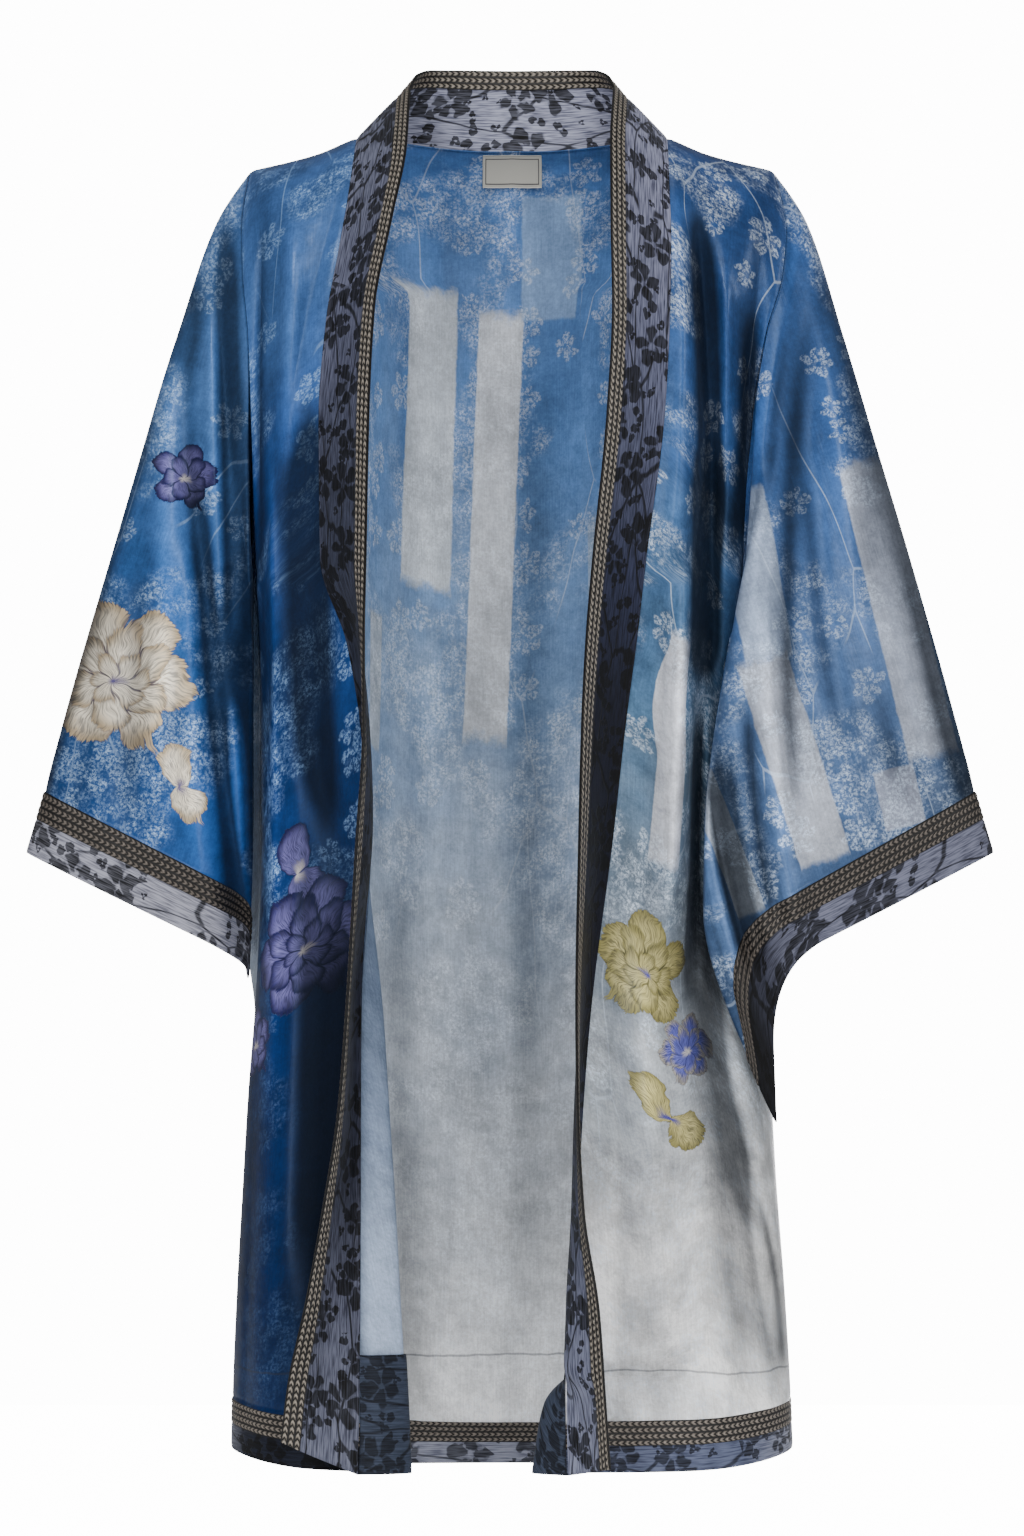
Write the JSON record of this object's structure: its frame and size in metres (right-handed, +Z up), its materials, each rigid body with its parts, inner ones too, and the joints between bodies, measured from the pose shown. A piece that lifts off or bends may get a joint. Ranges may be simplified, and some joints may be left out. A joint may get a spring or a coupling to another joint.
{
  "type": "kimono jacket",
  "caption": "Open-fronted satin kimono jacket in worn, hollow form, with wide sleeves, a straight neckband and braid-edged bands at neck, cuffs and hem.",
  "frame": {"origin": "between the wearer's shoulders, level with the back neck seam and in the plane of the side seams", "axes": "+Z up, -Y towards the front opening, +X towards the wearer's left"},
  "size_m": [0.697, 0.2777, 1.0162],
  "materials": {
    "panel_back": "silk satin, blue at the shoulders fading to silver at the hem, with soft tone-on-tone sprays",
    "panel_front_right": "silk satin, deep blue",
    "panel_front_left": "silk satin, blue at the shoulder fading to silver at the hem",
    "sleeve_cloth": "silk satin, blue with pale patches",
    "band_cloth": "matt jacquard, grey violet ground with dark slate sprigs",
    "cuff_cloth": "matt jacquard, light grey violet ground with dark slate sprigs",
    "braid": "chain braid in taupe with near-black lines between its rows",
    "facing_cloth": "matt dark figured cloth",
    "label_cloth": "matt woven label with a thin dark frame, left bare"
  },
  "bodies": {
    "root": {"back": "panel_back", "front_right": "panel_front_right", "front_left": "panel_front_left", "sleeve_right": "sleeve_cloth", "sleeve_left": "sleeve_cloth", "neckband": "band_cloth", "neck_braid": "braid", "hem_braid": "braid", "hem_band": "band_cloth", "cuff_braid_right": "braid", "cuff_braid_left": "braid", "cuff_band_right": "cuff_cloth", "cuff_band_left": "cuff_cloth", "hem_facing_right": "facing_cloth", "hem_facing_left": "facing_cloth", "label": "label_cloth"}
  },
  "joints": []
}
